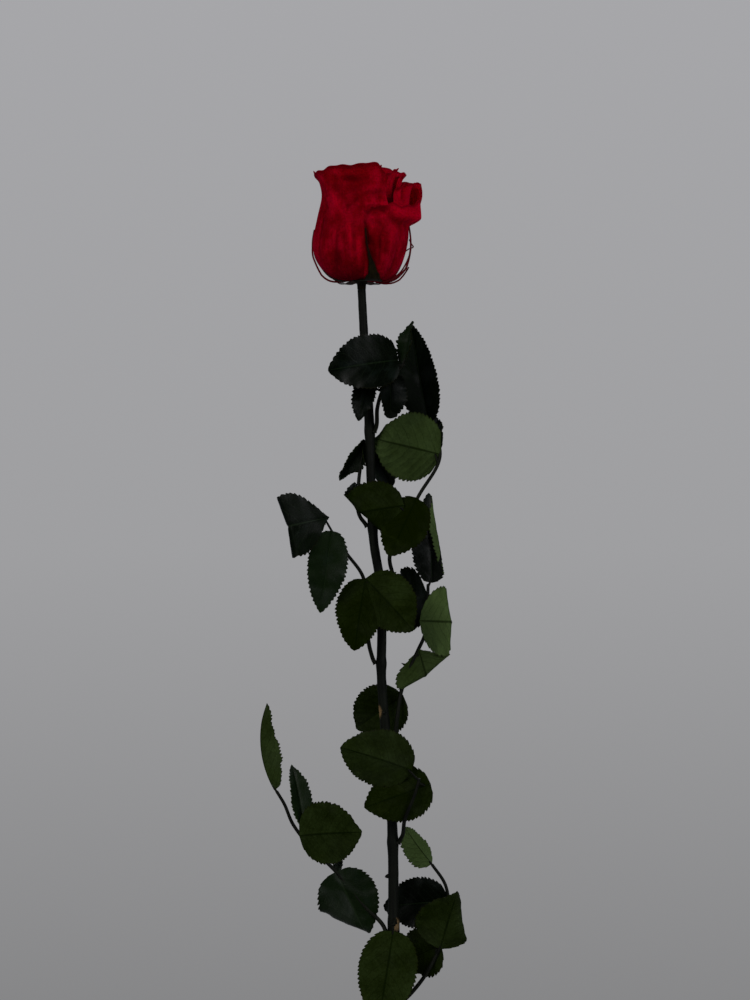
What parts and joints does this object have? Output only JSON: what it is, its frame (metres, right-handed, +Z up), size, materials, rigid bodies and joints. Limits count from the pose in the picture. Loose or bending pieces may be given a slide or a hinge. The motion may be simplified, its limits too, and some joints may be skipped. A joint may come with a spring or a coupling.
{
  "type": "rose in a bud vase",
  "caption": "Long-stemmed dried rose with layered petals and toothed compound leaves, standing in a small-necked vase.",
  "frame": {"origin": "centre of the vase's flat base", "axes": "+Z up along the vase, the rose's pictured side faces -Y, +X to its right"},
  "size_m": [0.1054, 0.0682, 0.6167],
  "materials": {
    "glaze": "satin",
    "stem": "satin",
    "sepal": "matte",
    "petal": "matte",
    "leaf": "satin"
  },
  "bodies": {
    "root": {"vase": "glaze", "stem": "stem", "calyx": "sepal", "bloom": "petal", "leaf_1": "leaf", "leaf_2": "leaf", "leaf_3": "leaf", "leaf_4": "leaf", "leaf_5": "leaf", "leaf_6": "leaf", "leaf_7": "leaf", "leaf_8": "leaf", "leaf_9": "leaf"}
  },
  "joints": []
}
